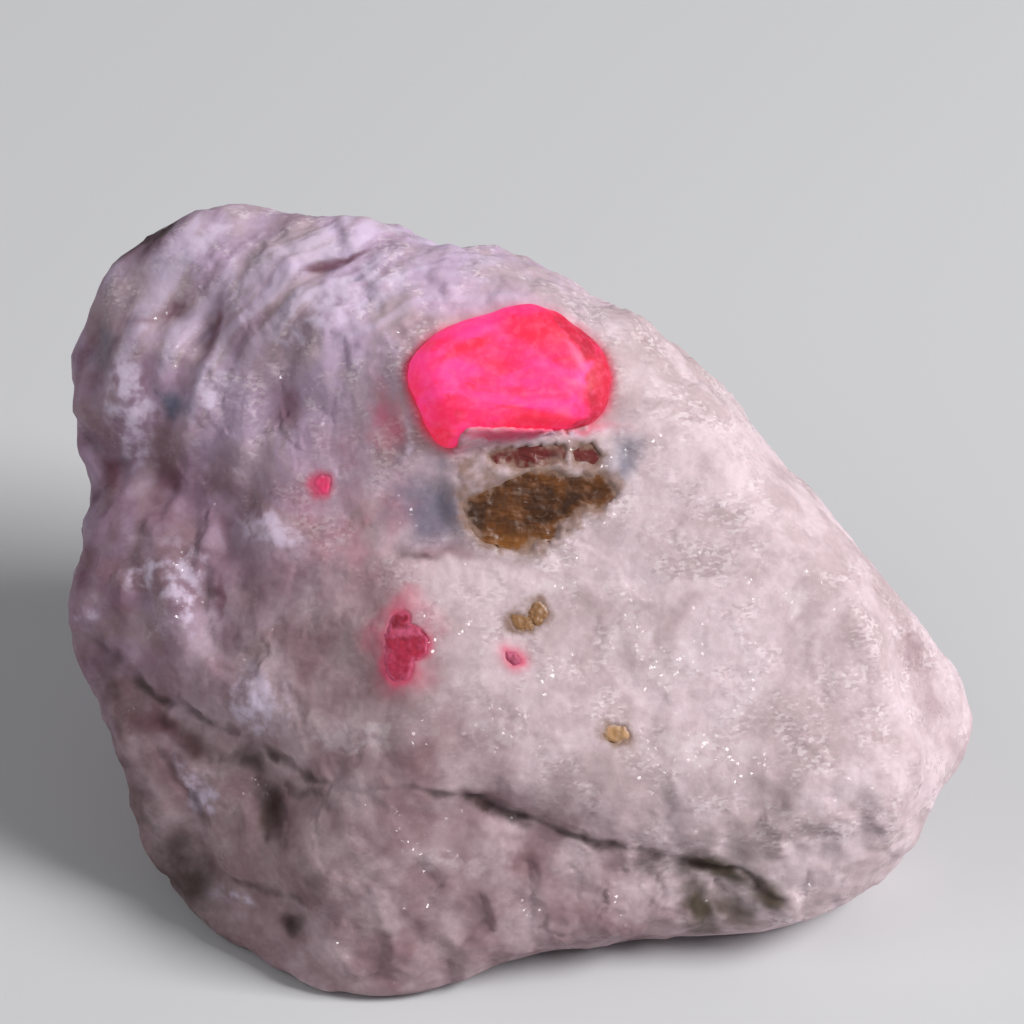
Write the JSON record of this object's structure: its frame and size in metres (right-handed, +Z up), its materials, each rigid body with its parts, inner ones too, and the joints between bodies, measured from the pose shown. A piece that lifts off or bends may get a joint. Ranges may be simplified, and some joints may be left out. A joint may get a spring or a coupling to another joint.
{
  "type": "raw ruby crystal in marble matrix",
  "caption": "Raw ruby crystal set in a hand-sized piece of pale marble, over a book of brown mica, with small ruby and mica grains, resting on a flat break.",
  "frame": {"origin": "on the flat base, below the middle of the bounding box", "axes": "+X to the right across the display face, +Y towards the back, +Z up; the display face looks towards -Y and about 40 degrees above level"},
  "size_m": [0.0584, 0.0408, 0.0381],
  "materials": {
    "marble": "sugary broken calcite marble, slightly translucent",
    "ruby": "glassy translucent crystal that glows pinkish red",
    "mica": "pearly brown sheets"
  },
  "bodies": {
    "root": {"marble_matrix": "marble", "ruby_crystal": "ruby", "mica_book": "mica", "ruby_grain_left": "ruby", "ruby_grain_cluster": "ruby", "ruby_grain_centre": "ruby", "mica_grain_upper": "mica", "mica_grain_lower": "mica"}
  },
  "joints": []
}
